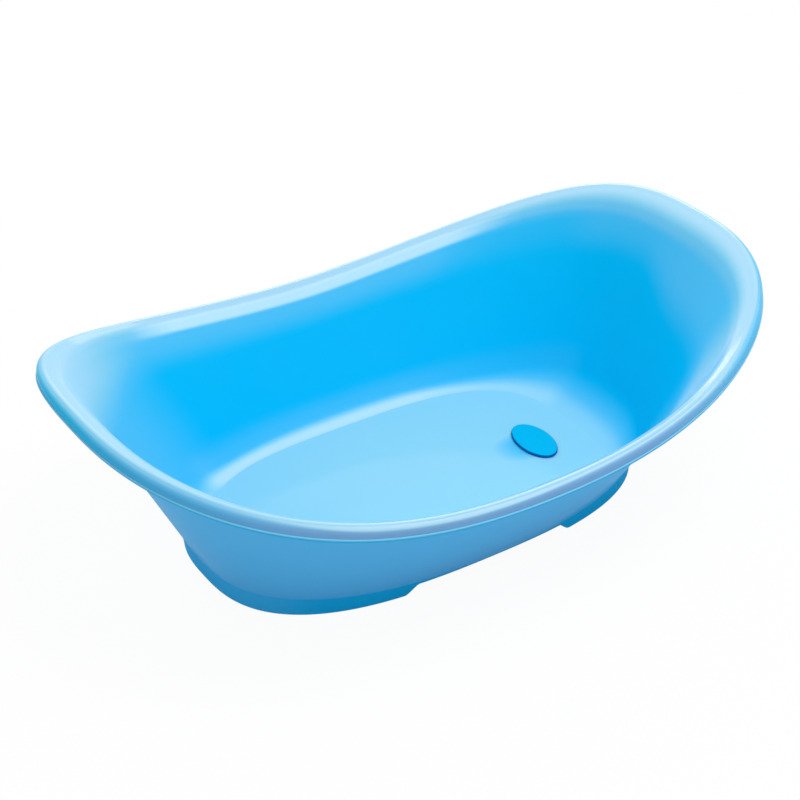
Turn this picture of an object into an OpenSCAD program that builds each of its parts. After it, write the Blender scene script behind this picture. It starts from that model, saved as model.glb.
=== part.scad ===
// Baby bathtub: a moulded basin with a saddle-shaped rolled rim, foot skirts and a lift-out drain plug.
// Length runs along X, width along Y, height along Z. The tub stands on z = 0, centred on the Z axis.

/* [Rim] */
// Length over the rim
rim_length = 800; // [700:5:900]
// Width over the rim
rim_width = 513; // [460:1:560]
// Height of the lip's lower edge at the middle of each long side
lip_height_side = 147; // [130:0.5:180]
// Height of the lip's lower edge at the two ends
lip_height_end = 237; // [200:1:270]
// How square the rim's plan is, where 2 is an ellipse
rim_squareness = 2.7; // [2.2:0.1:3.2]
// Height of the rim's crown above the lip's lower edge
rim_rise = 16; // [12:0.5:22]
// Radius of the crown's outer round
crown_radius = 7.5; // [6:0.5:9]
// Width of the shallow valley between the crown and the flare
valley_width = 3; // [2:0.5:6]
// Radius at which the long sides flare out into the rim
flare_radius_side = 14; // [10:0.5:26]
// Radius at which the ends flare out into the rim
flare_radius_end = 36; // [20:1:50]
// Radius of the half-round bead along the lip's lower edge
bead_radius = 1.2; // [0.8:0.1:2]

/* [Wall] */
// Thickness of the moulding
wall = 2.6; // [2:0.1:4]

/* [Floor] */
// Length of the flat floor
floor_length = 452; // [400:2:480]
// Width of the flat floor
floor_width = 282; // [240:2:290]
// Height of the floor's upper face above the ground
floor_height = 18.7; // [17:0.1:30]
// How square the floor's plan is, where 2 is an ellipse
floor_squareness = 3.1; // [2.4:0.1:3.6]

/* [Foot skirts] */
// Length of the base at the crease where the wall meets the foot skirts
foot_length = 540; // [510:1:580]
// Width of the base at that crease
foot_width = 307; // [300:1:340]
// How square the base's plan is, where 2 is an ellipse
foot_squareness = 2.7; // [2.2:0.1:3.2]
// Height of the crease at the middle of each long side
crease_height_side = 12.5; // [11:0.1:17]
// Height of the crease at the two ends
crease_height_end = 22.5; // [16:0.5:28]
// How far the foot skirts lean in from the crease to the ground
foot_draft = 2.5; // [0:0.1:4]
// Length of the arch between the foot skirts, half way up
arch_span = 203; // [120:2:230]
// Height of the arch
arch_height = 11.6; // [8:0.1:12]
// How much further each end of the arch reaches at the ground than at its top
arch_splay = 14; // [4:1:24]
// Radius of the arch's upper corners
arch_corner = 6; // [2:0.5:8]

/* [Drain] */
// Distance of the drain from the middle of the floor, along the tub
drain_x = 162; // [60:1:165]
// Distance of the drain from the middle of the floor, across the tub
drain_y = -12; // [-40:1:40]
// Bore of the drain
drain_bore = 30; // [26:0.5:34]
// Wall of the collar under the floor, around the drain
collar_wall = 3; // [2:0.1:4]
// Length of the collar below the floor
collar_length = 9; // [6:0.5:9.5]

/* [Plug] */
// Length of the oval cap, across the tub
cap_length = 73; // [60:1:90]
// Width of the oval cap, along the tub
cap_width = 43; // [40:1:56]
// Turn of the cap from square across the tub
cap_turn = -4; // [-30:1:30]
// Thickness of the cap
cap_thickness = 3.6; // [3:0.1:6]
// Round on the cap's upper edge
cap_round = 1.4; // [0.8:0.1:2]
// Bevel under the cap's edge, where a nail lifts it
cap_bevel = 0.8; // [0.4:0.1:1]
// Width of the level border around the cap's finger dish
dish_border = 3.5; // [2:0.1:5]
// Width of the slope down into the dish
dish_slope = 8; // [5:0.5:10]
// Depth of the dish
dish_depth = 0.6; // [0.3:0.1:1]
// Diameter of the post under the cap
post_diameter = 9; // [6:0.5:10]
// Length of the stopper below the cap
stopper_length = 12.4; // [12:0.1:13]
// Thickness of the seal rings' round section
seal_section = 3.2; // [2.4:0.1:3.4]
// Diameter of the clip ring
clip_diameter = 15; // [13:0.5:20]
// Thickness of the clip ring
clip_thickness = 1.2; // [0.8:0.1:1.4]
// Depth of the post's groove for the clip ring
clip_groove = 1; // [0.6:0.1:1.2]

/* [Fits] */
// Gap between the cap and the floor
cap_gap = 0.2; // [0.1:0.05:0.4]
// Gap between the stopper and the cap, and between the stopper and the clip ring
swivel_gap = 0.2; // [0.1:0.05:0.4]
// Radial clearance of the post in the stopper
post_clearance = 0.05; // [0.02:0.01:0.1]
// Radial clearance of the seal rings in the drain
seal_clearance = 0.05; // [0.02:0.01:0.1]
// Radial clearance of the stopper in the drain
stopper_clearance = 0.5; // [0.3:0.1:0.8]
// Clearance of the seal rings and the clip ring in their grooves
groove_clearance = 0.04; // [0.02:0.01:0.1]

/* [Hidden] */

$fn = 64;
// Straight runs around the rim, and steps along the section's rounds
around = 72;
fillet_steps = 5;
flare_steps = 4;
crown_steps = 6;
bead_steps = 2;
wall_steps = 4;
corner_steps = 5;
// Straight runs around the oval cap, and steps along its edge and its dish
cap_sides = 48;
edge_steps = 4;
dish_steps = 4;
// Overlap that makes a cut run clean through a face
through = 1;

// Share of the rim's rise that comes late, close to the ends, the same for the crease, which rises
// early and runs level around the corners, and the same for the growth of the flare
rim_late = 0.145;
crease_late = -1;
flare_late = 0;
// Slope of the rim's inner side where the crown ends, and where the flare begins
crown_slope = 35;
flare_slope = 25;

// Heights of the drain plug's pieces
underside = floor_height - wall;
cap_z = floor_height + cap_gap;
stopper_top = cap_z - swivel_gap;
stopper_bottom = stopper_top - stopper_length;
clip_top = stopper_bottom - swivel_gap;
post_end = clip_top - clip_thickness - clip_groove;
// Sizes of the seal rings, their grooves and the clip's groove
seal_outer = drain_bore / 2 - seal_clearance;
groove_radius = seal_outer - seal_section - groove_clearance;
groove_width = seal_section + 2 * groove_clearance;
stopper_radius = drain_bore / 2 - stopper_clearance;
seal_pitch = stopper_length / 3;
post_radius = post_diameter / 2;
clip_inner = post_radius - clip_groove;

// Points of an arc, from angle a to angle b
function arc(centre, radius, a, b, steps) = [
    for (i = [0 : steps])
        let (t = a + (b - a) * i / steps)
        centre + radius * [cos(t), sin(t)]
];

// Points between two others, without the ends
function between(p, q, steps) = [for (i = [1 : steps - 1]) p + (q - p) * i / steps];

// Distance from the Z axis to a rounded outline, at an angle around the axis
function reach(length, width, squareness, angle) =
    1 / pow(
        pow(abs(cos(angle)) * 2 / length, squareness) + pow(abs(sin(angle)) * 2 / width, squareness),
        1 / squareness
    );

// A size on its way from the sides to the ends, where s runs from 0 to 1 along the half length
function saddle(side, end, late, s) = side + (end - side) * ((1 - late) * s * s + late * pow(s, 4));

// Section of the moulding at an angle around the Z axis, as distances and heights: from the floor's edge
// up the inside, over the rim, down the outside, round the foot skirt and along the underside.
function section(angle) =
    let (
        lip_r = reach(rim_length, rim_width, rim_squareness, angle),
        crease_r = reach(foot_length, foot_width, foot_squareness, angle),
        floor_r = reach(floor_length, floor_width, floor_squareness, angle),
        along = abs(cos(angle)) * 2,
        lip_s = lip_r * along / rim_length,
        lip = [lip_r, saddle(lip_height_side, lip_height_end, rim_late, lip_s)],
        crease_s = crease_r * along / foot_length,
        crease = [crease_r, saddle(crease_height_side, crease_height_end, crease_late, crease_s)],
        flare_radius = saddle(flare_radius_side, flare_radius_end, flare_late, lip_s),
        face = lip_r - bead_radius,
        crown = [face - crown_radius, lip.y + rim_rise - crown_radius],
        crown_end = 90 + crown_slope,
        mid_slope = (crown_slope + flare_slope) / 2,
        valley = crown + crown_radius * [cos(crown_end), sin(crown_end)]
            - valley_width * [cos(mid_slope), sin(mid_slope)],
        flare = valley + flare_radius * [sin(flare_slope), -cos(flare_slope)],
        run = flare - crease,
        lean = atan2(run.x, run.y) - asin((flare_radius - wall) / norm(run)),
        corner = crease_r + (floor_height - crease.y) * tan(lean) - wall / cos(lean),
        fillet_radius = (corner - floor_r) / tan((90 - lean) / 2),
        fillet = [floor_r, floor_height + fillet_radius],
        skirt_in = crease_r - wall,
        under_start = -acos((skirt_in - floor_r) / (fillet_radius + wall)),
        inside = arc(fillet, fillet_radius, -90, -lean, fillet_steps),
        flare_in = arc(flare, flare_radius, 180 - lean, 90 + flare_slope, flare_steps),
        flare_out = arc(flare, flare_radius - wall, 90 + flare_slope, 180 - lean, flare_steps)
    )
    concat(
        inside,
        between(inside[fillet_steps], flare_in[0], wall_steps),
        flare_in,
        arc(crown, crown_radius, crown_end, 0, crown_steps),
        arc([face, lip.y + bead_radius], bead_radius, 90, -90, bead_steps),
        [[face - wall, lip.y]],
        arc(crown, crown_radius - wall, 0, crown_end, crown_steps),
        flare_out,
        between(flare_out[flare_steps], crease, wall_steps),
        [crease, [crease_r - foot_draft, 0], [skirt_in - foot_draft, 0]],
        arc(fillet, fillet_radius + wall, under_start, -90, fillet_steps)
    );

// A four-sided face as two triangles, split along the diagonal that is asked for
function split(a, b, c, d, other) = other ? [[a, b, c], [b, d, c]] : [[a, b, d], [a, d, c]];

// A solid through level rings of points, from its upper face out, down and in to its lower face. The
// function flip says which faces between two rings are split along the other diagonal.
module loft(rings, flip) {
    sides = len(rings[0]);
    last = len(rings) - 1;
    strips = [
        for (i = [0 : last - 1])
            for (j = [0 : sides - 1])
                let (
                    next = (j + 1) % sides,
                    low = i * sides,
                    high = low + sides
                )
                each split(low + j, low + next, high + j, high + next, flip(i, j))
    ];
    upper_face = [for (j = [sides - 1 : -1 : 0]) j];
    lower_face = [for (j = [0 : sides - 1]) last * sides + j];
    polyhedron([for (ring = rings) each ring], concat(strips, [upper_face, lower_face]), convexity = 8);
}

// The whole tub before its arch and drain are cut. The inside and the outside of the wall are split
// alike, so that they stay one thickness apart, and each quarter mirrors its neighbours.
module moulding() {
    angles = [for (j = [0 : around - 1]) 360 * j / around];
    sections = [for (angle = angles) section(angle)];
    rails = len(sections[0]);
    rings = [
        for (i = [0 : rails - 1])
            [
                for (j = [0 : around - 1])
                    let (p = sections[j][i])
                    [p.x * cos(angles[j]), p.x * sin(angles[j]), p.y]
            ]
    ];
    loft(rings, function (i, j) (floor(4 * j / around) % 2 == 1) != (i > rails / 2));
}

// The arch's opening, seen along the width: a trapezium with rounded upper corners
module arch_opening() {
    top_half = (arch_span - arch_splay) / 2;
    lean = atan2(arch_splay, arch_height);
    tangent = arch_corner * tan((90 - lean) / 2);
    corner = arc([top_half - tangent, arch_height - arch_corner], arch_corner, 90, lean, corner_steps);
    foot_half = top_half + arch_splay * (arch_height + through) / arch_height;
    right = concat(corner, [[foot_half, -through]]);
    left = [for (i = [len(right) - 1 : -1 : 0]) [-right[i].x, right[i].y]];
    rotate([90, 0, 0])
        linear_extrude(rim_width, center = true)
            polygon(concat(right, left));
}

module tub_shell() {
    color("#7dc8fa")
        difference() {
            union() {
                moulding();
                translate([drain_x, drain_y, underside - collar_length])
                    cylinder(d = drain_bore + 2 * collar_wall, h = collar_length + wall / 2);
            }
            arch_opening();
            translate([drain_x, drain_y, 0])
                cylinder(d = drain_bore, h = floor_height + through);
        }
}

module at_drain(height) {
    translate([drain_x, drain_y, height])
        children();
}

// Outline of the oval cap, drawn in by an inset, at a height
function cap_ring(inset, height) = [
    for (j = [0 : cap_sides - 1])
        let (angle = 360 * j / cap_sides)
        [(cap_width / 2 - inset) * cos(angle), (cap_length / 2 - inset) * sin(angle), height]
];

// The cap's plate, from the bottom of its dish over the rounded edge to its underside
module cap_plate() {
    dish = [
        for (i = [dish_steps : -1 : 0])
            let (s = i / dish_steps)
            [dish_border + dish_slope * s, cap_thickness - dish_depth * (1 - cos(180 * s)) / 2]
    ];
    edge = arc([cap_round, cap_thickness - cap_round], cap_round, 90, 180, edge_steps);
    profile = concat(dish, edge, [[0, cap_bevel], [cap_bevel, 0]]);
    loft([for (p = profile) cap_ring(p.x, p.y)], function (i, j) false);
}

module plug_cap() {
    groove_height = clip_thickness + 2 * groove_clearance;
    color("#0f8fd6") {
        at_drain(cap_z)
            rotate([0, 0, cap_turn])
                cap_plate();
        at_drain(post_end)
            difference() {
                cylinder(r = post_radius, h = cap_z - post_end + cap_thickness / 4);
                translate([0, 0, clip_groove - groove_clearance])
                    difference() {
                        cylinder(r = post_radius + through, h = groove_height);
                        cylinder(r = clip_inner, h = groove_height);
                    }
            }
    }
}

module plug_stopper() {
    half_groove = groove_width / 2;
    color("#dfe8ee")
        at_drain(stopper_bottom)
            difference() {
                cylinder(r = stopper_radius, h = stopper_length);
                translate([0, 0, -through])
                    cylinder(r = post_radius + post_clearance, h = stopper_length + 2 * through);
                for (level = [seal_pitch, 2 * seal_pitch])
                    translate([0, 0, level - half_groove])
                        difference() {
                            cylinder(r = drain_bore, h = groove_width);
                            cylinder(r = groove_radius, h = groove_width);
                        }
            }
}

module seal_ring(level) {
    color("#4a4f55")
        at_drain(stopper_bottom + level)
            rotate_extrude()
                translate([seal_outer - seal_section / 2, 0])
                    circle(d = seal_section);
}

module plug_seal_upper() {
    seal_ring(2 * seal_pitch);
}

module plug_seal_lower() {
    seal_ring(seal_pitch);
}

module plug_clip() {
    color("#c3c9cf")
        at_drain(clip_top - clip_thickness)
            difference() {
                cylinder(d = clip_diameter, h = clip_thickness);
                translate([0, 0, -through])
                    cylinder(r = clip_inner + groove_clearance, h = clip_thickness + 2 * through);
            }
}

tub_shell();
plug_cap();
plug_stopper();
plug_seal_upper();
plug_seal_lower();
plug_clip();
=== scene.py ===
# A baby bathtub of light-blue plastic with a drain plug of deeper blue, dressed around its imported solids.
from math import cos, pi, radians, sin, tau
from types import SimpleNamespace

import bpy
from mathutils import Matrix, Vector


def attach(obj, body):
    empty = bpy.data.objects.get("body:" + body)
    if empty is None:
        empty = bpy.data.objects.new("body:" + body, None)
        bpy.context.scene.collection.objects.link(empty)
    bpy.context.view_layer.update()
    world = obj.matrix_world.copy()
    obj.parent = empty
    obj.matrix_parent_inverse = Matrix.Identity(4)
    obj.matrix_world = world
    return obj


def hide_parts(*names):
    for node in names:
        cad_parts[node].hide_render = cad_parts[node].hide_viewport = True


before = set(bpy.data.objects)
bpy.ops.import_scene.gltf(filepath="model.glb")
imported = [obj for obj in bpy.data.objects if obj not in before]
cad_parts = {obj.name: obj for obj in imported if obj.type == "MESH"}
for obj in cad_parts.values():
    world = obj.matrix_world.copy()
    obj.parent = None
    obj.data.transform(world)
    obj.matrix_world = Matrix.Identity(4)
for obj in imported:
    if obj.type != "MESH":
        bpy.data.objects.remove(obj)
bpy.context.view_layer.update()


# The tub is one injection moulding in light-blue plastic, 2.6 mm thick, with its basin, rolled rim, foot
# skirts and drain collar. Its colour is painted deeper down the basin's walls and on the foot skirts, a
# painted shade, and paler on the rim and at the head end, a painted highlight. The rim is polished, and the
# floor and the outside are finely matt.
tub_sizes = {
    "rim_length": 0.800,
    "rim_width": 0.513,
    "rim_squareness": 2.7,
    "lip_height_side": 0.147,
    "lip_height_end": 0.237,
    "rim_rise": 0.016,
    "crown_radius": 0.0075,
    "crown_slope": radians(35),
    "valley_width": 0.003,
    "flare_radius_side": 0.014,
    "flare_radius_end": 0.036,
    "flare_slope": radians(25),
    "bead_radius": 0.0012,
    "bead_rise": 0.0018,
    "wall": 0.0026,
    "floor_length": 0.452,
    "floor_width": 0.282,
    "floor_squareness": 3.1,
    "floor_height": 0.0187,
    "floor_border": 0.003,
    "foot_length": 0.540,
    "foot_width": 0.307,
    "foot_squareness": 2.7,
    "crease_height_side": 0.0125,
    "crease_height_end": 0.0225,
    "foot_draft": 0.0025,
    "arch_span": 0.203,
    "arch_height": 0.0116,
    "arch_splay": 0.014,
    "arch_corner": 0.0024,
    "drain_x": 0.162,
    "drain_y": -0.012,
    "drain_bore": 0.030,
    "collar_wall": 0.003,
    "collar_length": 0.009,
    "edge_round": 0.0006,
}
# Share of a height's rise that comes late, close to the ends: the rim's, the crease's and the flare's
RIM_LATE = 0.145
CREASE_LATE = -1.0
FLARE_LATE = 0.0
TUB_COLUMNS = 480


class Wire:
    """One output of a node. Sums that are written with it add Math nodes to its tree."""

    def __init__(self, nodes, socket):
        self.nodes = nodes
        self.socket = socket

    def math(self, operation, *others):
        return self.nodes.math(operation, self, *others)

    def __add__(self, other):
        return self.math("ADD", other)

    def __sub__(self, other):
        return self.math("SUBTRACT", other)

    def __rsub__(self, other):
        return self.nodes.math("SUBTRACT", other, self)

    def __mul__(self, other):
        return self.math("MULTIPLY", other)

    def __truediv__(self, other):
        return self.math("DIVIDE", other)

    def __rtruediv__(self, other):
        return self.nodes.math("DIVIDE", other, self)

    def __pow__(self, other):
        return self.math("POWER", other)

    def __neg__(self):
        return self * -1

    def __abs__(self):
        return self.math("ABSOLUTE")

    __radd__ = __add__
    __rmul__ = __mul__


def sine(angle):
    return angle.math("SINE") if isinstance(angle, Wire) else sin(angle)


def cosine(angle):
    return angle.math("COSINE") if isinstance(angle, Wire) else cos(angle)


class Nodes:
    """A node tree that is built up: each node comes with its settings and with what feeds its sockets."""

    def __init__(self, tree):
        self.tree = tree
        tree.nodes.clear()

    def add(self, kind, settings=(), feeds=(), output=0):
        node = self.tree.nodes.new(kind)
        for name, value in dict(settings).items():
            setattr(node, name, value)
        for socket, feed in dict(feeds).items():
            for one in feed if isinstance(feed, list) else [feed]:
                if isinstance(one, Wire):
                    self.tree.links.new(one.socket, node.inputs[socket])
                else:
                    node.inputs[socket].default_value = one
        return Wire(self, node.outputs[output]) if node.outputs else node

    def math(self, operation, *values):
        return self.add("ShaderNodeMath", {"operation": operation}, dict(enumerate(values)))

    def ease(self, value, start, end, low, high):
        """A smooth change from low to high while a value runs from start to end."""
        feeds = {"Value": value, "From Min": start, "From Max": end, "To Min": low, "To Max": high}
        return self.add("ShaderNodeMapRange", {"interpolation_type": "SMOOTHSTEP"}, feeds, "Result")


class Finish(Nodes):
    """A new material, whose pattern sits in the piece's own space."""

    def __init__(self, name):
        self.material = bpy.data.materials.new(name)
        self.material.use_nodes = True
        super().__init__(self.material.node_tree)

    def place(self):
        return self.add("ShaderNodeTexCoord", output="Object")

    def noise(self, scale, detail=1.0):
        feeds = {"Vector": self.place(), "Scale": scale, "Detail": detail}
        return self.add("ShaderNodeTexNoise", feeds=feeds, output="Fac")

    def painted(self, name):
        return self.add("ShaderNodeAttribute", {"attribute_name": name}, output="Fac")

    def blend(self, share, first, second):
        return self.add("ShaderNodeMix", {"data_type": "RGBA"}, {0: share, 6: first, 7: second}, 2)

    def relief(self, height, depth):
        return self.add("ShaderNodeBump", feeds={"Strength": 0.12, "Distance": depth, "Height": height})

    def end(self, **feeds):
        """Ends the tree in the shader of a plastic or rubber. A name's underscores stand for spaces."""
        feeds = {name.replace("_", " "): feed for name, feed in feeds.items()}
        surface = self.add("ShaderNodeBsdfPrincipled", feeds=feeds)
        self.add("ShaderNodeOutputMaterial", feeds={"Surface": surface})
        return self.material


def shade(red, green, blue):
    """A colour of 0 to 255 a channel, as a screen shows it, for a shader."""
    shares = [channel / 255 for channel in (red, green, blue)]
    return (*[s / 12.92 if s < 0.04045 else ((s + 0.055) / 1.055) ** 2.4 for s in shares], 1.0)


# The plastic's colours by depth, from the palest on the rim to the foot skirts. Besides the plastic's own
# blue they hold painted light and shade: the pale ones are painted highlights, the deep ones painted shade.
# Each band of the tub is painted with a depth among them, with how much painted grey-lilac reflection and
# shade it has, and with how matt and polished it is.
RIM, FLOOR, MIDDLE, WALL, OUTSIDE, SKIRT = 0.5, 1.0, 2.0, 3.0, 4.0, 5.0
RIM_GREY_REFLECTION = 0.15
tub_shades = [
    shade(190, 230, 252),
    shade(145, 216, 241),
    shade(86, 199, 244),
    shade(0, 191, 244),
    shade(86, 190, 247),
    shade(24, 182, 240),
]
finish = Finish("tub_plastic")
cloud = finish.noise(5.0, 2.0)
ripple = finish.noise(60.0)
grain = finish.noise(1400.0)
mattness = finish.painted("matt")
paint_depth = finish.painted("colour_depth") + (cloud - 0.5) * 0.12
tub_colour = tub_shades[0]
for depth, deeper in enumerate(tub_shades[1:]):
    tub_colour = finish.blend(paint_depth - depth, tub_colour, deeper)
# The greyish lilac mixed into the colour is a painted reflection of grey surroundings and painted shade,
# strongest on the rim's near face.
tub_plastic = finish.end(
    Base_Color=finish.blend(finish.painted("lilac"), tub_colour, shade(140, 157, 211)),
    Roughness=0.12 + cloud * 0.05 + mattness * 0.4,
    Normal=finish.relief(ripple * 0.3 + grain * (mattness * 0.25 + 0.01), 0.0006),
    IOR=1.06,
    Coat_Weight=finish.painted("polish"),
    Coat_Roughness=0.08,
    Coat_IOR=1.5,
)


class Moulding(Nodes):
    """A tree of geometry nodes that makes a closed skin of bands. Each band is a flat grid at first: its X
    runs along the piece's section, which is step, and its Y once around the piece."""

    def __init__(self, name, sizes, columns):
        super().__init__(bpy.data.node_groups.new(name, "GeometryNodeTree"))
        self.columns = columns
        self.bands = []
        self.tree.interface.new_socket("Geometry", in_out="OUTPUT", socket_type="NodeSocketGeometry")
        for size in sizes:
            self.tree.interface.new_socket(size, in_out="INPUT", socket_type="NodeSocketFloat")
        self.sizes = SimpleNamespace(**{size: self.add("NodeGroupInput", output=size) for size in sizes})
        grid_place = self.add("GeometryNodeInputPosition")
        self.step = self.add("ShaderNodeSeparateXYZ", feeds={0: grid_place}, output="X") + 0.5
        turn = (self.add("ShaderNodeSeparateXYZ", feeds={0: grid_place}, output="Y") + 0.5) * tau
        self.cos = cosine(turn)
        self.sin = sine(turn)

    def arc(self, centre, radius, start, end):
        angle = start + (end - start) * self.step
        return on_circle(centre, radius, angle)

    def line(self, first, last):
        return tuple(a + (b - a) * self.step for a, b in zip(first, last))

    def band(self, steps, x, y, z, **painted):
        """A strip of the skin, and the values that are painted on it for its material."""
        feeds = {"Size X": 1.0, "Size Y": 1.0, "Vertices X": steps + 1, "Vertices Y": self.columns + 1}
        strip = self.add("GeometryNodeMeshGrid", feeds=feeds)
        for name, value in painted.items():
            strip = self.add(
                "GeometryNodeStoreNamedAttribute",
                {"data_type": "FLOAT", "domain": "POINT"},
                {"Geometry": strip, "Name": name, "Value": value},
            )
        point = self.add("ShaderNodeCombineXYZ", feeds={"X": x, "Y": y, "Z": z})
        self.bands.append(self.add("GeometryNodeSetPosition", feeds={"Geometry": strip, "Position": point}))

    def end(self, material, seam=0.00002, sharp=radians(40)):
        """Joins the bands, closes their seams, keeps sharp edges sharp, and ends the tree."""
        skin = self.add("GeometryNodeJoinGeometry", feeds={"Geometry": self.bands})
        skin = self.add("GeometryNodeMergeByDistance", feeds={"Geometry": skin, "Distance": seam})
        bend = self.add("GeometryNodeInputMeshEdgeAngle", output="Unsigned Angle")
        soft = self.add("FunctionNodeCompare", {"operation": "LESS_THAN"}, {"A": bend, "B": sharp})
        skin = self.add("GeometryNodeSetShadeSmooth", {"domain": "EDGE"}, {0: skin, "Shade Smooth": soft})
        skin = self.add("GeometryNodeRealizeInstances", feeds={"Geometry": skin})
        skin = self.add("GeometryNodeSetMaterial", feeds={"Geometry": skin, "Material": material})
        self.add("NodeGroupOutput", feeds={"Geometry": skin})

    def cast(self, name, sizes):
        """A piece with the plain mesh that the tree makes at the given sizes, less its grids' empty slot."""
        piece = bpy.data.objects.new(name, bpy.data.meshes.new(name))
        bpy.context.scene.collection.objects.link(piece)
        modifier = piece.modifiers.new(name, "NODES")
        modifier.node_group = self.tree
        for item in self.tree.interface.items_tree:
            if item.in_out == "INPUT":
                modifier[item.identifier] = sizes[item.name]
        evaluated = piece.evaluated_get(bpy.context.evaluated_depsgraph_get())
        mesh = bpy.data.meshes.new_from_object(evaluated)
        mesh.materials.pop(index=0)
        piece.modifiers.remove(modifier)
        piece.data = mesh
        return piece


def on_circle(centre, radius, angle):
    return centre[0] + radius * cosine(angle), centre[1] + radius * sine(angle)


tub = Moulding("tub_moulding", tub_sizes, TUB_COLUMNS)
size = tub.sizes
step = tub.step


def reach(length, width, squareness):
    """Distance from the middle of the tub to a rounded outline."""
    along = (abs(tub.cos) * 2 / length) ** squareness
    across = (abs(tub.sin) * 2 / width) ** squareness
    return 1 / (along + across) ** (1 / squareness)


def saddle(side, end, late, share):
    """A size on its way from the sides to the ends, where share runs from 0 to 1 along the half length."""
    square = share * share
    return side + (end - side) * (square * (1 - late) + square * square * late)


lip_r = reach(size.rim_length, size.rim_width, size.rim_squareness)
crease_r = reach(size.foot_length, size.foot_width, size.foot_squareness)
floor_r = reach(size.floor_length, size.floor_width, size.floor_squareness)
lip_share = lip_r * abs(tub.cos) * 2 / size.rim_length
crease_share = crease_r * abs(tub.cos) * 2 / size.foot_length
lip_z = saddle(size.lip_height_side, size.lip_height_end, RIM_LATE, lip_share)
crease_z = saddle(size.crease_height_side, size.crease_height_end, CREASE_LATE, crease_share)
flare_radius = saddle(size.flare_radius_side, size.flare_radius_end, FLARE_LATE, lip_share)

# The section's round centres, from the lip inwards, and the lean of the wall that joins flare and foot
face_r = lip_r - size.bead_radius
crown = (face_r - size.crown_radius, lip_z + size.rim_rise - size.crown_radius)
crown_end = size.crown_slope + pi / 2
flare_end = size.flare_slope + pi / 2
valley_slope = (size.crown_slope + size.flare_slope) / 2
crown_foot = on_circle(crown, size.crown_radius, crown_end)
valley = on_circle(crown_foot, -size.valley_width, valley_slope)
flare = on_circle(valley, -flare_radius, flare_end)
run = (flare[0] - crease_r, flare[1] - crease_z)
run_length = (run[0] * run[0] + run[1] * run[1]).math("SQRT")
lean = run[0].math("ARCTAN2", run[1]) - ((flare_radius - size.wall) / run_length).math("ARCSINE")
corner_r = crease_r + (size.floor_height - crease_z) * lean.math("TANGENT") - size.wall / cosine(lean)
fillet_radius = (corner_r - floor_r) / ((pi / 2 - lean) / 2).math("TANGENT")
fillet = (floor_r, size.floor_height + fillet_radius)
skirt_in_r = crease_r - size.wall
under_start = -((skirt_in_r - floor_r) / (fillet_radius + size.wall)).math("ARCCOSINE")

# The foot skirt's lower edge, which rises over the arch in the middle of each long side
arch_half = (size.arch_span - size.arch_splay) / 2
arch_side = size.arch_height * (1 - (abs(crease_r * tub.cos) - arch_half) / size.arch_splay)
arch_z = size.arch_height.math("SMOOTH_MIN", arch_side, size.arch_corner)
arch_z = arch_z.math("SMOOTH_MAX", 0.0, size.arch_corner)
edge_z = arch_z + size.edge_round
skirt_r = crease_r - size.foot_draft * (1 - edge_z / crease_z)
skirt_inner_r = skirt_r - size.wall
skirt_edge = (skirt_r - size.edge_round, edge_z)
skirt_inner_edge = (skirt_inner_r + size.edge_round, edge_z)

under_z = size.floor_height - size.wall
bore_r = size.drain_bore / 2
bore_edge = (bore_r + size.edge_round, size.floor_height - size.edge_round)
collar_r = bore_r + size.collar_wall
collar_z = under_z - size.collar_length

# Where the section's bands meet. The top tenth of the wall, inside, is a band of its own.
fillet_top = on_circle(fillet, fillet_radius, -lean)
fillet_under = fillet_radius + size.wall
flare_under = flare_radius - size.wall
flare_foot = on_circle(flare, flare_radius, pi - lean)
wall_top = tuple(foot + (top - foot) * 0.9 for foot, top in zip(fillet_top, flare_foot))
flare_under_foot = on_circle(flare, flare_under, pi - lean)
flare_under_end = on_circle(flare, flare_under, flare_end)
crown_under = size.crown_radius - size.wall
crown_under_end = on_circle(crown, crown_under, crown_end)
lip_under = (face_r - size.wall, lip_z)
bead = (face_r, lip_z + size.bead_rise + size.bead_radius)


def tub_band(steps, profile, colour_depth, matt=0.0, polish=0.0, lilac=0.0, drain_share=0.0):
    """A strip of the tub, given by its distance from the axis and its height along the section. The axis is
    the tub's own, or the drain's where drain_share is 1."""
    radius, height = profile
    tub.band(
        steps,
        radius * tub.cos + size.drain_x * drain_share,
        radius * tub.sin + size.drain_y * drain_share,
        height,
        colour_depth=colour_depth,
        matt=matt,
        polish=polish,
        lilac=lilac,
    )


def beside(direction, near, far):
    """1 within an angle of a direction from the middle of the tub, and 0 beyond another, in degrees."""
    facing = tub.cos * cos(radians(direction)) + tub.sin * sin(radians(direction))
    return tub.ease(facing, cos(radians(far)), cos(radians(near)), 0.0, 1.0)


# The places around the tub where its paint changes. The head end and the near corner are painted paler, a
# painted highlight, and at both ends the wall turns softly into the rim.
lengthwise = lip_r * tub.cos * 2 / size.rim_length
either_end = tub.ease(lip_share, 0.5, 0.9, 0.0, 1.0)
head_half = tub.ease(lengthwise, -0.45, -0.7, 0.0, 1.0)
head_end = tub.ease(lengthwise, -0.6, -0.95, 0.0, 1.0)
head_tip = tub.ease(lengthwise, -0.75, -0.98, 0.0, 1.0)
drain_end = beside(5, 26, 44)
near_end = beside(-25, 14, 31)
near_corner = beside(-75, 36, 55) * beside(0, 53, 120)
near_side = beside(-110, 41, 78)
far_corner = beside(35, 8, 18)
far_side = beside(80, 65, 72.5) * (1 - beside(0, 14, 60) * 0.7)
# Painted highlight: the head end and the near corner are painted paler.
pale_highlight = head_end.math("MAXIMUM", near_corner)
soft = drain_end.math("MAXIMUM", head_half)

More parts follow.
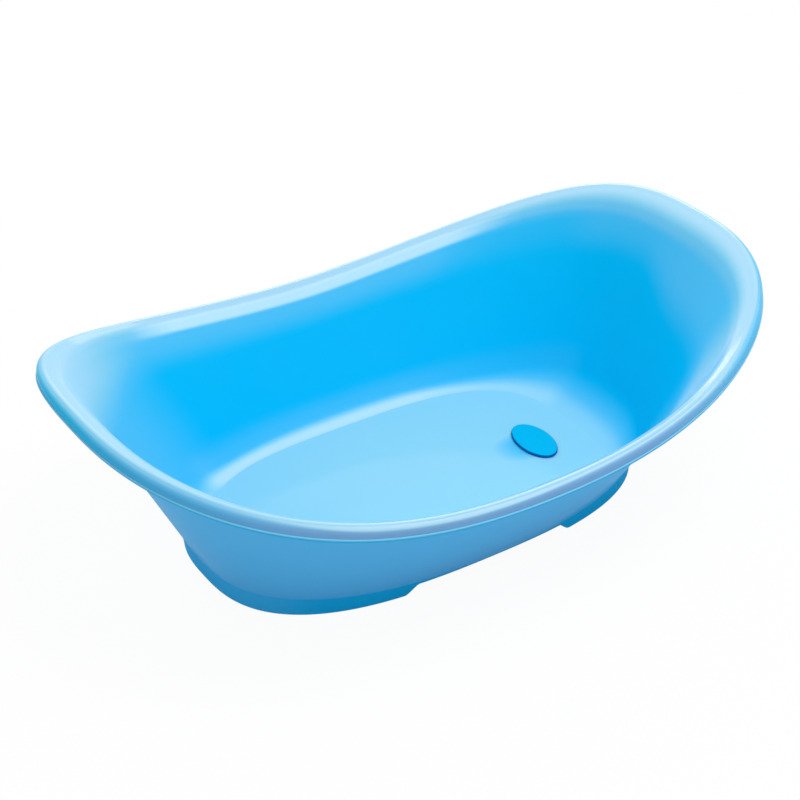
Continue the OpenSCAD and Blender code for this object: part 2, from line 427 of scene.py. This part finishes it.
# Inside, over the floor from the drain's edge to its border, which is painted paler on the far side, a
# painted highlight
floor_end = (floor_r - size.floor_border, size.floor_height)
floor_line = tub.line((bore_edge[0], size.floor_height), floor_end)
tub_band(10, floor_line, FLOOR, matt=0.75, polish=0.15, drain_share=1 - step)
border_line = tub.line(floor_end, (floor_r, size.floor_height))
border_end = FLOOR - far_side
border_depth = tub.ease(step, 0.2, 1.0, FLOOR, border_end)
tub_band(4, border_line, border_depth, matt=0.75 - step * 0.75, polish=0.15 + step * 0.35)

# Up the fillet and the wall
fillet_arc = tub.arc(fillet, fillet_radius, -pi / 2, -lean)
wall_base = WALL - pale_highlight
# On the far side the fillet is painted paler too, a painted highlight strip.
fillet_end = wall_base - far_side * 0.7
fillet_depth = tub.ease(step, far_side * 0.35, 0.95, border_end, fillet_end)
fillet_matt = tub.ease(step, 0.5, 1.0, 0.0, 0.5)
fillet_polish = tub.ease(step, 0.0, 0.6, 0.5, 0.0)
tub_band(20, fillet_arc, fillet_depth, fillet_matt, fillet_polish)
wall_line = tub.line(fillet_top, wall_top)
# The wall is painted deep low down, a painted shade, and paler towards its top, most at the head end and the
# near corner, a painted highlight.
wall_start = 0.75 - near_end * 0.25 - pale_highlight * 0.2
wall_stop = 1.0 - near_end * 0.2
wall_foot = tub.ease(step, 0.0, 0.2, fillet_end, wall_base)
wall_end = MIDDLE + drain_end * 0.3 + far_corner * 0.4 - near_end * 0.3 - pale_highlight * 1.6
wall_depth = tub.ease(step, wall_start, wall_stop, wall_foot, wall_end)
wall_polish = near_corner * tub.ease(step, 0.4, 1.0, 0.0, 0.6)
tub_band(20, wall_line, wall_depth, (1 - wall_polish) / 2, wall_polish)

# The wall's top and the flare turn out to the rim's valley
rim_depth = RIM + head_end * 0.1
rim_polish = 1 - head_half * 0.6
# Along the sides the wall's top and the flare are painted pale with a crisp lower edge, a painted highlight
# strip, which softens at the ends.
top_end = RIM + soft - pale_highlight * 1.2
top_depth = tub.ease(step, 0.3 - soft * 0.3, 0.6 + soft * 0.4, wall_end, top_end)
top_polish = tub.ease(step, 0.3, 0.6, near_corner * 0.6, 1 - soft)
tub_band(8, tub.line(wall_top, flare_foot), top_depth, (1 - top_polish) / 2, top_polish)
flare_arc = tub.arc(flare, flare_radius, pi - lean, flare_end)
flare_depth = tub.ease(step, 0.0, 0.9, top_end, rim_depth)
flare_polish = tub.ease(step, 0.0, 0.7, 1 - soft, rim_polish)
tub_band(14, flare_arc, flare_depth, (1 - flare_polish) / 2, flare_polish, step * RIM_GREY_REFLECTION)
tub_band(4, tub.line(valley, crown_foot), rim_depth, polish=rim_polish, lilac=RIM_GREY_REFLECTION)

# Over the crown, which has a fine line along it, and down the face to the lip's bead
crown_arc = tub.arc(crown, size.crown_radius, crown_end, 0.0)
crown_start = 0.7 - either_end * 0.46 - near_corner * 0.2
crown_stop = 0.88 - either_end * 0.3 - near_corner * 0.18 + head_end * 0.4
crown_line = tub.ease(abs(step - 0.42), 0.02, 0.07, 0.5, 0.0)
# The crown is painted pale, a painted highlight, and the face below it deeper and greyer, darkest towards
# the bead and at the head end, a painted shade and reflection.
face_depth = MIDDLE + either_end * 0.3 - drain_end * 0.6 + head_end * 0.6
face_polish = 0.3 - either_end * 0.3
face_grey_reflection = RIM_GREY_REFLECTION + near_side * 0.45 - head_end * 0.25
crown_depth = tub.ease(step, crown_start, crown_stop, rim_depth, face_depth) + crown_line
crown_polish = tub.ease(step, 0.3, 0.9 - either_end * 0.3, rim_polish, face_polish)
crown_grey_reflection = tub.ease(step, crown_start, crown_stop, RIM_GREY_REFLECTION, face_grey_reflection)
tub_band(26, crown_arc, crown_depth, polish=crown_polish, lilac=crown_grey_reflection)
face_line = tub.line((face_r, crown[1]), (face_r, bead[1] + size.bead_radius))
face_foot = tub.ease(step, 0.4, 0.9, face_depth, WALL)
tub_band(4, face_line, face_foot, polish=face_polish, lilac=face_grey_reflection)
# The bead is painted pale on its upper half and deep on its lower half, a painted highlight over painted
# shade.
bead_arc = tub.arc(bead, size.bead_radius, pi / 2, -pi / 2)
bead_depth = tub.ease(step, 0.4, 0.8, 1.4, WALL)
tub_band(8, bead_arc, bead_depth, polish=0.2 - either_end * 0.2, lilac=RIM_GREY_REFLECTION)

# Round the lip's edge and back up the inside of the rolled rim
# The narrow strip under the bead is painted deep, a painted shade line.
tub_band(1, tub.line((face_r, bead[1] - size.bead_radius), (face_r, lip_z)), WALL)
tub_band(1, tub.line((face_r, lip_z), lip_under), OUTSIDE)
tub_band(2, tub.line(lip_under, (lip_under[0], crown[1])), OUTSIDE)
tub_band(10, tub.arc(crown, crown_under, 0.0, crown_end), OUTSIDE)
tub_band(1, tub.line(crown_under_end, flare_under_end), OUTSIDE)

# Down the outside to the crease, and round the foot skirt's edge. The foot skirts are painted a deeper blue,
# a painted shade near the floor, and a narrow band above the crease keeps that colour to the skirt.
crease = (crease_r, crease_z)
crease_top = tuple(low + (high - low) * 0.015 for low, high in zip(crease, flare_under_foot))
skirt_depth = SKIRT - head_tip * 0.5
crease_depth = OUTSIDE + (skirt_depth - OUTSIDE) * step
tub_band(10, tub.arc(flare, flare_under, flare_end, pi - lean), OUTSIDE, matt=1.0, polish=0.08)
tub_band(10, tub.line(flare_under_foot, crease_top), OUTSIDE, matt=1.0, polish=0.08)
tub_band(1, tub.line(crease_top, crease), crease_depth, matt=1.0)
tub_band(4, tub.line(crease, (skirt_r, edge_z)), skirt_depth, matt=1.0)
tub_band(4, tub.arc(skirt_edge, size.edge_round, 0.0, -pi / 2), skirt_depth, matt=1.0)
tub_band(1, tub.line((skirt_edge[0], arch_z), (skirt_inner_edge[0], arch_z)), skirt_depth, matt=1.0)
tub_band(4, tub.arc(skirt_inner_edge, size.edge_round, -pi / 2, -pi), skirt_depth, matt=1.0)

# Along the underside to the drain's collar and up its bore
skirt_root = on_circle(fillet, fillet_under, under_start)
tub_band(4, tub.line((skirt_inner_r, edge_z), skirt_root), OUTSIDE, matt=1.0)
tub_band(10, tub.arc(fillet, fillet_under, under_start, -pi / 2), OUTSIDE, matt=1.0)
tub_band(6, tub.line((floor_r, under_z), (collar_r, under_z)), OUTSIDE, matt=1.0, drain_share=step)
tub_band(2, tub.line((collar_r, under_z), (collar_r, collar_z)), OUTSIDE, matt=1.0, drain_share=1.0)
tub_band(1, tub.line((collar_r, collar_z), (bore_r, collar_z)), OUTSIDE, matt=1.0, drain_share=1.0)
tub_band(3, tub.line((bore_r, collar_z), (bore_r, bore_edge[1])), OUTSIDE, polish=1.0, drain_share=1.0)
tub_band(4, tub.arc(bore_edge, size.edge_round, pi, pi / 2), OUTSIDE, polish=1.0, drain_share=1.0)

tub.end(tub_plastic)
tub_piece = tub.cast("tub", tub_sizes)
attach(tub_piece, "tub")
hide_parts("tub_shell")


# The plug's cap is a flat oval moulding in deeper blue, satin on top, with a shallow dish and a rounded
# edge. Its post runs down through the stopper, and has a groove for the clip ring near its end.
STOPPER_LENGTH = 0.0124
CLIP_THICKNESS = 0.0012
PLUG_GAP = 0.0002
RING_ROOM = 0.00004
POST_ROOM = 0.00005
POST_TAIL = 0.001
stopper_top = tub_sizes["floor_height"]
stopper_bottom = stopper_top - STOPPER_LENGTH
clip_top = stopper_bottom - PLUG_GAP
clip_bottom = clip_top - CLIP_THICKNESS
cap_sizes = {
    "cap_length": 0.073,
    "cap_width": 0.043,
    "cap_turn": radians(-4),
    "cap_thickness": 0.0036,
    "cap_round": 0.0014,
    "cap_bevel": 0.0008,
    "dish_border": 0.0035,
    "dish_slope": 0.008,
    "dish_depth": 0.0006,
    "cap_z": stopper_top + PLUG_GAP,
    "post_radius": 0.0045,
    "post_end": clip_bottom - POST_TAIL,
    "post_chamfer": 0.0004,
    "groove_radius": 0.0035,
    "groove_bottom": clip_bottom - RING_ROOM,
    "groove_top": clip_top + RING_ROOM,
    "drain_x": tub_sizes["drain_x"],
    "drain_y": tub_sizes["drain_y"],
}
CAP_COLUMNS = 160

finish = Finish("plug_cap_plastic")
cloud = finish.noise(40.0, 2.0)
grain = finish.noise(2200.0)
cap_colour = finish.blend(cloud, shade(0, 182, 231), shade(0, 188, 236))
# The cap's side and underside are painted a darker blue, a painted shade.
plug_cap_plastic = finish.end(
    Base_Color=finish.blend(finish.painted("edge"), cap_colour, shade(0, 100, 168)),
    Roughness=0.44 + cloud * 0.08,
    Normal=finish.relief(grain, 0.0004),
    IOR=1.12,
)

cap = Moulding("plug_cap_moulding", cap_sizes, CAP_COLUMNS)
size = cap.sizes
step = cap.step
turn_cos = cosine(size.cap_turn)
turn_sin = sine(size.cap_turn)


def cap_band(steps, across, along, height, edge=1.0):
    """A strip of the cap, given by its half width, its half length and its height along the section. The
    last value paints the strip darker blue where it is 1, a painted shade on the cap's side."""
    x = across * cap.cos
    y = along * cap.sin
    cap.band(
        steps,
        x * turn_cos - y * turn_sin + size.drain_x,
        x * turn_sin + y * turn_cos + size.drain_y,
        height,
        edge=edge,
    )


def cap_oval(steps, profile, edge=1.0):
    """A strip given by how far it lies inside the cap's outline, and by its height above the underside."""
    inset, height = profile
    cap_band(steps, size.cap_width / 2 - inset, size.cap_length / 2 - inset, size.cap_z + height, edge)


dish_inset = size.dish_border + size.dish_slope
dish_z = size.cap_thickness - size.dish_depth
round_z = size.cap_thickness - size.cap_round
dish_curve = (1 + cosine(step * pi)) / 2
under_across = size.cap_width / 2 - size.cap_bevel
under_along = size.cap_length / 2 - size.cap_bevel

# The cap, from the middle of its dish over the edge to its underside
cap_band(
    3,
    (size.cap_width / 2 - dish_inset) * step,
    (size.cap_length / 2 - dish_inset) * step,
    size.cap_z + dish_z,
    0.0,
)
dish_profile = (dish_inset - size.dish_slope * step, size.cap_thickness - size.dish_depth * dish_curve)
round_arc = cap.arc((size.cap_round, round_z), size.cap_round, pi / 2, pi)
cap_oval(12, dish_profile, 0.0)
cap_oval(2, cap.line((size.dish_border, size.cap_thickness), (size.cap_round, size.cap_thickness)), 0.0)
cap_oval(8, round_arc, cap.ease(step, 0.05, 0.45, 0.0, 1.0))
cap_oval(2, (0.0, round_z + (size.cap_bevel - round_z) * step))
cap_oval(3, (size.cap_bevel * step, size.cap_bevel * (1 - step)))
cap_band(
    6,
    under_across + (size.post_radius - under_across) * step,
    under_along + (size.post_radius - under_along) * step,
    size.cap_z,
)

# The post, from the cap's underside past the clip's groove to its end
post_corners = [
    (size.post_radius, size.cap_z),
    (size.post_radius, size.groove_top),
    (size.groove_radius, size.groove_top),
    (size.groove_radius, size.groove_bottom),
    (size.post_radius, size.groove_bottom),
    (size.post_radius, size.post_end + size.post_chamfer),
    (size.post_radius - size.post_chamfer, size.post_end),
    (0.0, size.post_end),
]
for first, last in zip(post_corners, post_corners[1:]):
    radius, height = cap.line(first, last)
    cap_band(2, radius, radius, height)

cap.end(plug_cap_plastic)
cap_piece = cap.cast("plug_cap_moulded", cap_sizes)
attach(cap_piece, "cap")
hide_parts("plug_cap")


# The stopper is a turned-looking moulding in off-white plastic that turns on the cap's post. Two square
# grooves around it hold the seal rings, and its edges are broken by a small chamfer.
SEAL_RADIUS = 0.01335
SEAL_SECTION = 0.0016
SEAL_PITCH = STOPPER_LENGTH / 3
seal_levels = {
    "plug_seal_lower": stopper_bottom + SEAL_PITCH,
    "plug_seal_upper": stopper_bottom + SEAL_PITCH * 2,
}
stopper_sizes = {
    "stopper_radius": 0.0145,
    "stopper_top": stopper_top,
    "stopper_bottom": stopper_bottom,
    "chamfer": 0.0004,
    "bore_radius": cap_sizes["post_radius"] + POST_ROOM,
    "groove_radius": SEAL_RADIUS - SEAL_SECTION - RING_ROOM,
    "groove_width": (SEAL_SECTION + RING_ROOM) * 2,
    **seal_levels,
    "drain_x": tub_sizes["drain_x"],
    "drain_y": tub_sizes["drain_y"],
}
RING_COLUMNS = 128

finish = Finish("stopper_plastic")
cloud = finish.noise(90.0, 2.0)
grain = finish.noise(2600.0)
stopper_plastic = finish.end(
    Base_Color=finish.blend(cloud, shade(222, 230, 235), shade(236, 242, 245)),
    Roughness=0.42 + cloud * 0.1,
    Normal=finish.relief(grain, 0.0004),
    IOR=1.46,
)

stopper = Moulding("stopper_moulding", stopper_sizes, RING_COLUMNS)
size = stopper.sizes


def ring_band(ring, steps, profile):
    """A strip around the drain's axis, given by its distance from the axis and its height."""
    radius, height = profile
    ring.band(steps, radius * ring.cos + ring.sizes.drain_x, radius * ring.sin + ring.sizes.drain_y, height)


def closed_ring(ring, corners):
    """Bands from corner to corner around a ring's section, and back to the first corner."""
    for first, last in zip(corners, corners[1:] + corners[:1]):
        ring_band(ring, 1, ring.line(first, last))


stopper_shoulder = size.stopper_radius - size.chamfer
stopper_corners = [
    (size.bore_radius, size.stopper_bottom + size.chamfer),
    (size.bore_radius, size.stopper_top - size.chamfer),
    (size.bore_radius + size.chamfer, size.stopper_top),
    (stopper_shoulder, size.stopper_top),
    (size.stopper_radius, size.stopper_top - size.chamfer),
]
for level in (size.plug_seal_upper, size.plug_seal_lower):
    groove_top = level + size.groove_width / 2
    groove_bottom = level - size.groove_width / 2
    stopper_corners += [
        (size.stopper_radius, groove_top),
        (size.groove_radius, groove_top),
        (size.groove_radius, groove_bottom),
        (size.stopper_radius, groove_bottom),
    ]
stopper_corners += [
    (size.stopper_radius, size.stopper_bottom + size.chamfer),
    (stopper_shoulder, size.stopper_bottom),
    (size.bore_radius + size.chamfer, size.stopper_bottom),
]
closed_ring(stopper, stopper_corners)
stopper.end(stopper_plastic)
stopper_piece = stopper.cast("plug_stopper_moulded", stopper_sizes)
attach(stopper_piece, "stopper")
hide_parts("plug_stopper")


# The two seals are moulded rings of soft dark-grey rubber with a round section, stretched into the
# stopper's grooves. A fine flash line runs around each where its mould parted.
seal_sizes = {
    "seal_radius": SEAL_RADIUS,
    "section_radius": SEAL_SECTION,
    "flash": 0.00006,
    "drain_x": tub_sizes["drain_x"],
    "drain_y": tub_sizes["drain_y"],
}
finish = Finish("seal_rubber")
cloud = finish.noise(120.0, 2.0)
grain = finish.noise(3000.0, 2.0)
seal_rubber = finish.end(
    Base_Color=finish.blend(cloud, shade(68, 72, 77), shade(88, 92, 97)),
    Roughness=0.62 + cloud * 0.12,
    Normal=finish.relief(grain, 0.0006),
    IOR=1.52,
)

seal = Moulding("seal_moulding", {**seal_sizes, "level": 0.0}, RING_COLUMNS)
size = seal.sizes
flash = size.flash * (cosine(seal.step * tau).math("MAXIMUM", 0.0) ** 60.0)
ring_band(seal, 48, seal.arc((size.seal_radius, size.level), size.section_radius + flash, tau, 0.0))
seal.end(seal_rubber)
for node, level in seal_levels.items():
    seal_piece = seal.cast(node + "_moulded", {**seal_sizes, "level": level})
    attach(seal_piece, "stopper")
    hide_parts(node)


# The clip is a flat snap ring in grey plastic, pressed into the groove of the cap's post under the
# stopper, so that the stopper stays on the post and the plug lifts out in one piece.
clip_sizes = {
    "clip_radius": 0.0075,
    "clip_inner": cap_sizes["groove_radius"] + RING_ROOM,
    "clip_top": clip_top,
    "clip_bottom": clip_bottom,
    "chamfer": 0.0002,
    "drain_x": tub_sizes["drain_x"],
    "drain_y": tub_sizes["drain_y"],
}
finish = Finish("clip_plastic")
cloud = finish.noise(150.0, 2.0)
grain = finish.noise(3000.0)
clip_plastic = finish.end(
    Base_Color=finish.blend(cloud, shade(196, 202, 206), shade(212, 217, 220)),
    Roughness=0.46 + cloud * 0.1,
    Normal=finish.relief(grain, 0.0004),
    IOR=1.46,
)

clip = Moulding("clip_moulding", clip_sizes, RING_COLUMNS)
size = clip.sizes
closed_ring(
    clip,
    [
        (size.clip_inner, size.clip_bottom + size.chamfer),
        (size.clip_inner, size.clip_top - size.chamfer),
        (size.clip_inner + size.chamfer, size.clip_top),
        (size.clip_radius - size.chamfer, size.clip_top),
        (size.clip_radius, size.clip_top - size.chamfer),
        (size.clip_radius, size.clip_bottom + size.chamfer),
        (size.clip_radius - size.chamfer, size.clip_bottom),
        (size.clip_inner + size.chamfer, size.clip_bottom),
    ],
)
clip.end(clip_plastic)
clip_piece = clip.cast("plug_clip_moulded", clip_sizes)
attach(clip_piece, "cap")
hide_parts("plug_clip")


# The studio has a white floor that keeps a faint shadow, and white all round. One soft lamp hangs over the
# tub and one stands low behind it. Two warm cards in front and behind only show in the polish.
FLOOR_HALF = 6.0
FLOOR_WHITE = 0.95
WORLD_LIGHT = 0.62


def seen_directly(nodes):
    """1 where a surface or the world is looked at, also in a reflection or through glass, and else 0."""
    camera = nodes.add("ShaderNodeLightPath", output="Is Camera Ray")
    glossy = nodes.add("ShaderNodeLightPath", output="Is Glossy Ray")
    through = nodes.add("ShaderNodeLightPath", output="Is Transmission Ray")
    return camera.math("MAXIMUM", glossy).math("MAXIMUM", through)


finish = Finish("floor_paper")
paper = finish.add("ShaderNodeBsdfDiffuse", feeds={"Color": (0.9, 0.9, 0.9, 1.0)})
dim_paper = finish.add("ShaderNodeBsdfDiffuse", feeds={"Color": (0.8, 0.8, 0.8, 1.0)})
white = finish.add("ShaderNodeEmission", feeds={"Color": (1.0, 1.0, 1.0, 1.0), "Strength": 1.0})
white_paper = finish.add("ShaderNodeMixShader", feeds={0: FLOOR_WHITE, 1: paper, 2: white})
floor_mix = finish.add("ShaderNodeMixShader", feeds={0: seen_directly(finish), 1: dim_paper, 2: white_paper})
finish.add("ShaderNodeOutputMaterial", feeds={"Surface": floor_mix})

floor_mesh = bpy.data.meshes.new("floor")
floor_corners = ((-1, -1), (1, -1), (1, 1), (-1, 1))
floor_mesh.from_pydata([(x * FLOOR_HALF, y * FLOOR_HALF, 0.0) for x, y in floor_corners], [], [(0, 1, 2, 3)])
floor_mesh.materials.append(finish.material)
floor = bpy.data.objects.new("floor", floor_mesh)
bpy.context.scene.collection.objects.link(floor)

world = bpy.data.worlds.new("studio")
bpy.context.scene.world = world
world.use_nodes = True
surround = Nodes(world.node_tree)
dim = surround.add("ShaderNodeBackground", feeds={"Color": (1.0, 1.0, 1.0, 1.0), "Strength": WORLD_LIGHT})
white = surround.add("ShaderNodeBackground", feeds={"Color": (1.0, 1.0, 1.0, 1.0), "Strength": 1.0})
world_mix = surround.add("ShaderNodeMixShader", feeds={0: seen_directly(surround), 1: dim, 2: white})
surround.add("ShaderNodeOutputWorld", feeds={"Surface": world_mix})

TUB_MIDDLE = Vector((0.0, 0.0, 0.13))
CARD_TINT = (1.0, 0.8, 0.7)


def softbox(name, first, last, width, brightness, card=False):
    """A strip lamp between two points, which faces the tub. Its face has the brightness, where 1 is white. A
    card only shows in the polished plastic, and any other lamp only lights it."""
    first = Vector(first)
    along = Vector(last) - first
    middle = first + along / 2
    lamp = bpy.data.lights.new(name, "AREA")
    lamp.shape = "RECTANGLE"
    lamp.size = width
    lamp.size_y = along.length
    lamp.energy = brightness * pi * width * along.length
    if card:
        lamp.color = CARD_TINT
    box = bpy.data.objects.new(name, lamp)
    box.visible_diffuse = not card
    box.visible_glossy = card
    box.location = middle
    away = (middle - TUB_MIDDLE).cross(along).cross(-along).normalized()
    along.normalize()
    box.rotation_euler = Matrix((along.cross(away), along, away)).transposed().to_euler()
    bpy.context.scene.collection.objects.link(box)


softbox("over_softbox", (-0.1, -0.7, 3.0), (1.3, -0.7, 3.0), 1.4, 7.0)
softbox("back_softbox", (-0.4, 2.4, 1.0), (1.1, 2.4, 1.0), 0.8, 5.0)
softbox("front_card", (0.95, -2.5, 1.2), (0.95, -0.6, 3.0), 5.5, 3.0, card=True)
softbox("back_card", (0.84, 2.76, 1.35), (2.3, 1.35, 1.35), 1.1, 2.4, card=True)

# The camera looks down on the tub from its near side, with the drain end to the right
VIEW_AZIMUTH = radians(-33.62)
VIEW_ELEVATION = radians(32.45)
VIEW_DISTANCE = 1.9344
VIEW_TARGET = Vector((-0.0178, 0.0, 0.1339))
view = bpy.data.cameras.new("camera")
view.sensor_width = 36.0
view.lens = 80.05
camera = bpy.data.objects.new("camera", view)
back = Vector((
    sin(VIEW_AZIMUTH) * cos(VIEW_ELEVATION),
    -cos(VIEW_AZIMUTH) * cos(VIEW_ELEVATION),
    sin(VIEW_ELEVATION),
))
camera.location = VIEW_TARGET + back * VIEW_DISTANCE
camera.rotation_euler = back.to_track_quat("Z", "Y").to_euler()
bpy.context.scene.collection.objects.link(camera)
bpy.context.scene.camera = camera
bpy.context.scene.view_settings.view_transform = "Standard"
